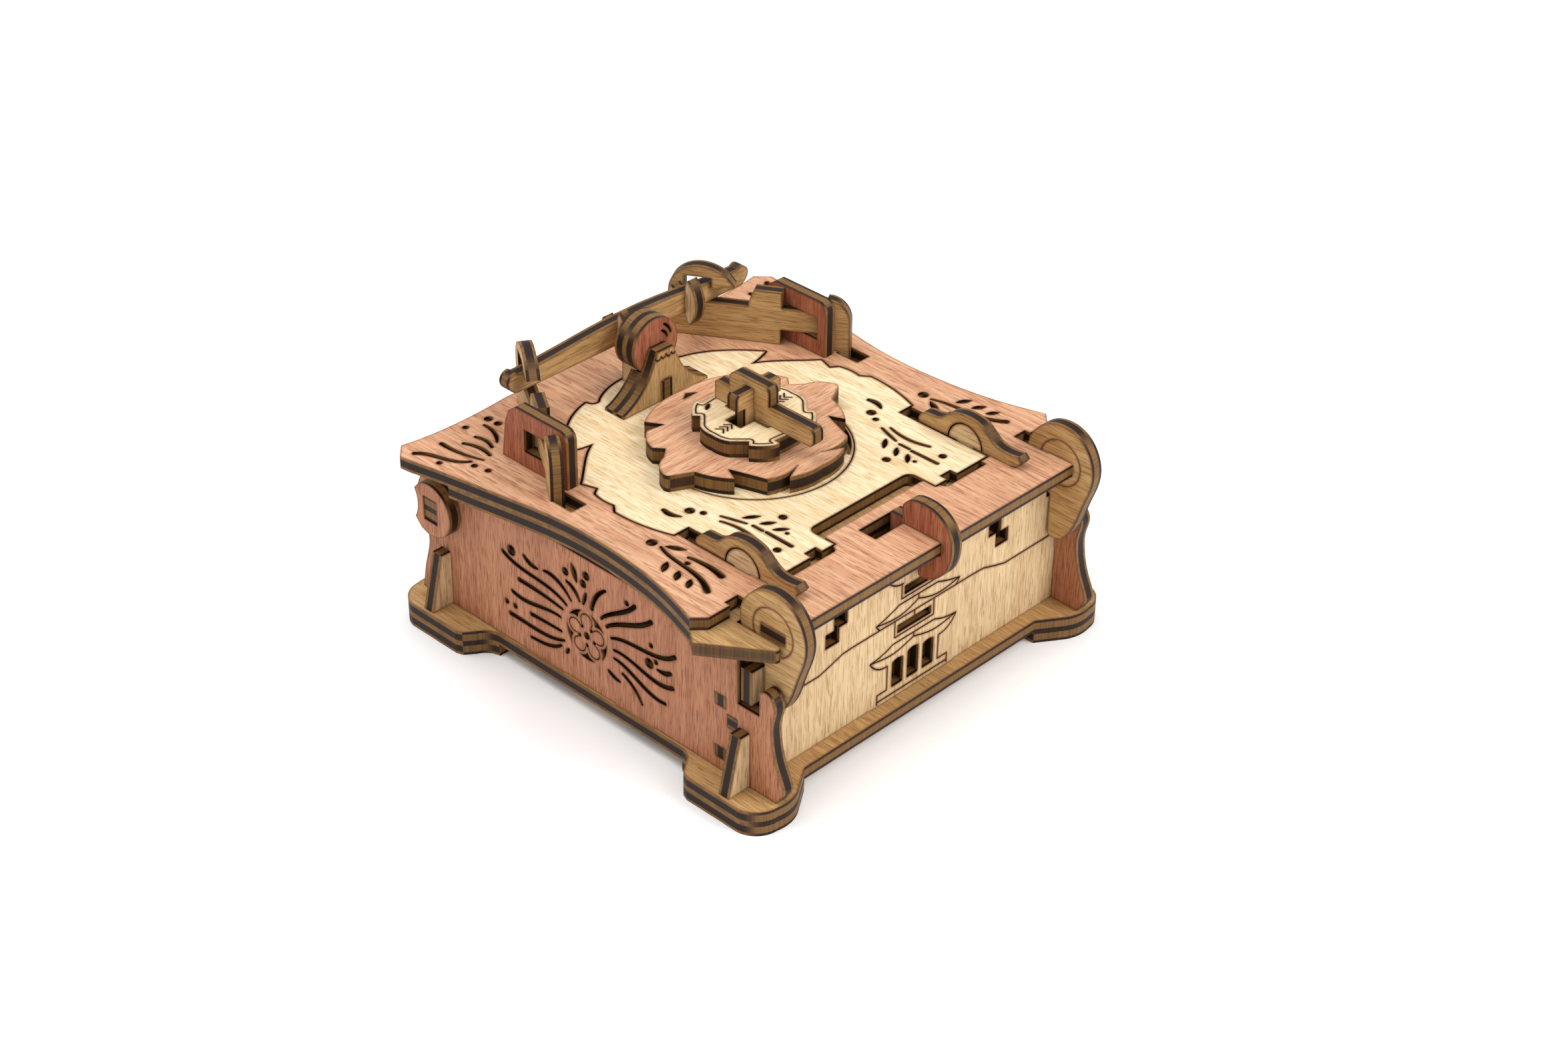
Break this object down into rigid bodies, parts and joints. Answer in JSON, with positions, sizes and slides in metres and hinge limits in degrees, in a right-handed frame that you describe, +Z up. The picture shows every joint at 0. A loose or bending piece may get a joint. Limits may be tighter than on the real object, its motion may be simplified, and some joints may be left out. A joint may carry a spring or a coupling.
{
  "type": "puzzle box",
  "caption": "Laser-cut plywood puzzle box with a hinged lid, pierced side panels, levers, a sliding key, a leaf-edged dial and a sun disc.",
  "frame": {"origin": "bottom centre of the box, in the plane of the foot pads", "axes": "+X to the right seen from the front, front towards -Y, +Z up"},
  "size_m": [0.114, 0.115, 0.0639],
  "materials": {
    "pink_ply": "satin",
    "cream_ply": "satin",
    "red_ply": "satin",
    "tan_ply": "satin",
    "light_ply": "satin"
  },
  "bodies": {
    "case": {"base_plate": "light_ply", "foot_pad_front_left": "light_ply", "foot_pad_front_right": "light_ply", "foot_pad_rear_left": "light_ply", "foot_pad_rear_right": "light_ply", "floor_liner": "light_ply", "side_panel_left": "pink_ply", "side_panel_right": "pink_ply", "front_panel": "light_ply", "rear_panel": "light_ply", "catch_block": "light_ply", "corner_stay_left": "light_ply", "corner_stay_right": "light_ply", "stay_wedge_left": "light_ply", "stay_wedge_right": "light_ply"},
    "lid": {"bearing_disc_left": "light_ply", "bearing_disc_right": "light_ply", "corner_hub_left": "light_ply", "corner_hub_right": "light_ply", "front_upper_panel": "light_ply", "hinge_arm_left": "light_ply", "hinge_arm_right": "light_ply", "hinge_bar_lower": "light_ply", "hinge_bar_upper": "light_ply", "hinge_cap_left": "tan_ply", "hinge_cap_right": "tan_ply", "lap_block_left": "red_ply", "lap_block_right": "red_ply", "lid_insert": "cream_ply", "lid_lower": "light_ply", "lid_top": "pink_ply", "low_hub_left": "light_ply", "low_hub_right": "light_ply", "mountain_back": "red_ply", "mountain_front": "red_ply", "post_left": "tan_ply", "post_right": "tan_ply", "rail_pin_left": "light_ply", "rail_pin_right": "light_ply", "rear_rail": "tan_ply", "rear_upper_strip": "light_ply", "sun_stay": "light_ply"},
    "corner_lever_left": {"corner_lever_left": "tan_ply"},
    "corner_lever_right": {"corner_lever_right": "tan_ply"},
    "low_lever_left": {"low_lever_left": "tan_ply"},
    "low_lever_right": {"low_lever_right": "tan_ply"},
    "key": {"key": "red_ply", "key_latch": "red_ply"},
    "rotor": {"rotor_disc": "light_ply", "rotor_hub": "light_ply", "rotor_retainer": "light_ply", "leaf_wheel": "red_ply"},
    "dial": {"dial": "red_ply", "dial_pivot": "red_ply", "handle_long": "red_ply", "handle_short": "red_ply"},
    "sun": {"sun_front": "red_ply", "sun_back": "red_ply"}
  },
  "joints": [
    {"name": "lid_hinge", "type": "hinge", "parent": "case", "child": "lid", "pos_m": [0, 0.0477, 0.0308], "axis": [-1, 0, 0], "range_deg": [0, 95]},
    {"name": "corner_lever_left_turn", "type": "hinge", "parent": "lid", "child": "corner_lever_left", "pos_m": [-0.0439, -0.0486, 0.0439], "axis": [-1, 0, 0], "range_deg": [0, 80]},
    {"name": "corner_lever_right_turn", "type": "hinge", "parent": "lid", "child": "corner_lever_right", "pos_m": [0.0439, -0.0486, 0.0439], "axis": [-1, 0, 0], "range_deg": [0, 80]},
    {"name": "low_lever_left_turn", "type": "hinge", "parent": "lid", "child": "low_lever_left", "pos_m": [-0.0339, -0.0303, 0.045], "axis": [-1, 0, 0], "range_deg": [0, 60]},
    {"name": "low_lever_right_turn", "type": "hinge", "parent": "lid", "child": "low_lever_right", "pos_m": [0.0339, -0.0303, 0.045], "axis": [-1, 0, 0], "range_deg": [0, 60]},
    {"name": "key_slide", "type": "slide", "parent": "lid", "child": "key", "axis": [1, 0, 0], "range_m": [-0.008, 0]},
    {"name": "rotor_turn", "type": "hinge", "parent": "lid", "child": "rotor", "pos_m": [0, 0.0014, 0.045], "axis": [0, 0, 1], "continuous": true},
    {"name": "dial_turn", "type": "hinge", "parent": "rotor", "child": "dial", "pos_m": [0, 0.0014, 0.049], "axis": [0, 0, 1], "continuous": true},
    {"name": "sun_turn", "type": "hinge", "parent": "lid", "child": "sun", "pos_m": [0, 0.0344, 0.0573], "axis": [0, 1, 0], "continuous": true}
  ]
}
